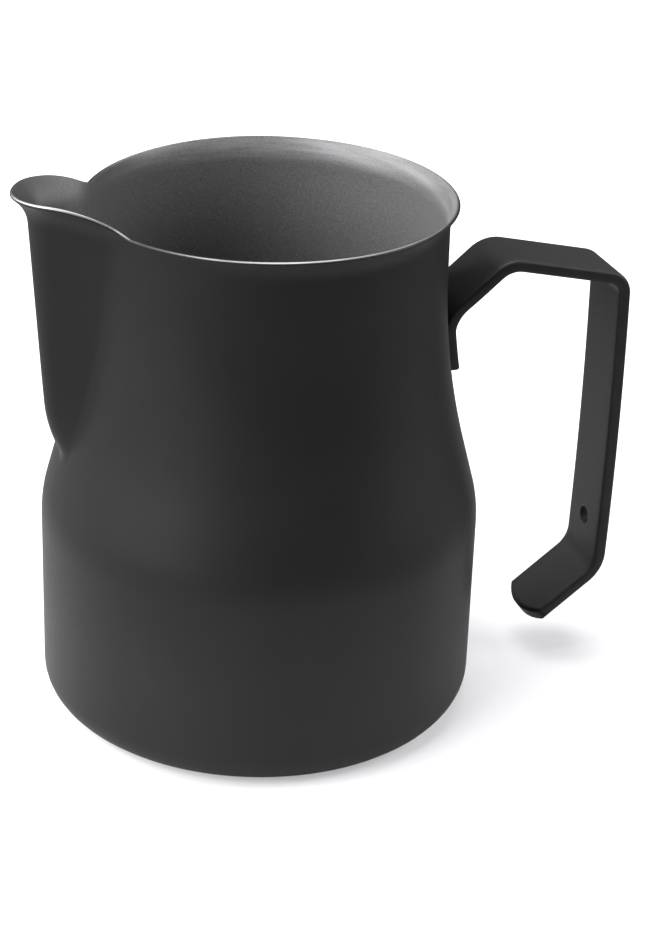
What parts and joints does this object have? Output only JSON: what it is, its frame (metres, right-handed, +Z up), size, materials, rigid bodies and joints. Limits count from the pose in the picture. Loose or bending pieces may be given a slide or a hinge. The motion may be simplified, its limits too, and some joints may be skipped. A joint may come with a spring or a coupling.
{
  "type": "milk frothing pitcher",
  "caption": "Round-bellied metal pitcher for frothing and pouring milk, with a narrow neck, a pressed V-shaped spout and an open strap handle.",
  "frame": {"origin": "centre of the round underside, on the surface the pitcher stands on", "axes": "+Z up along the round jug's axis, +X towards the handle, -X towards the spout, +Y to the left of someone who looks from the handle to the spout"},
  "size_m": [0.1418, 0.0996, 0.1246],
  "materials": {
    "body_coat": "satin powder coat, near black",
    "handle_coat": "satin powder coat, near black",
    "weld_steel": "bare steel"
  },
  "bodies": {
    "root": {"pitcher_body": "body_coat", "handle": "handle_coat", "spot_welds": "weld_steel"}
  },
  "joints": []
}
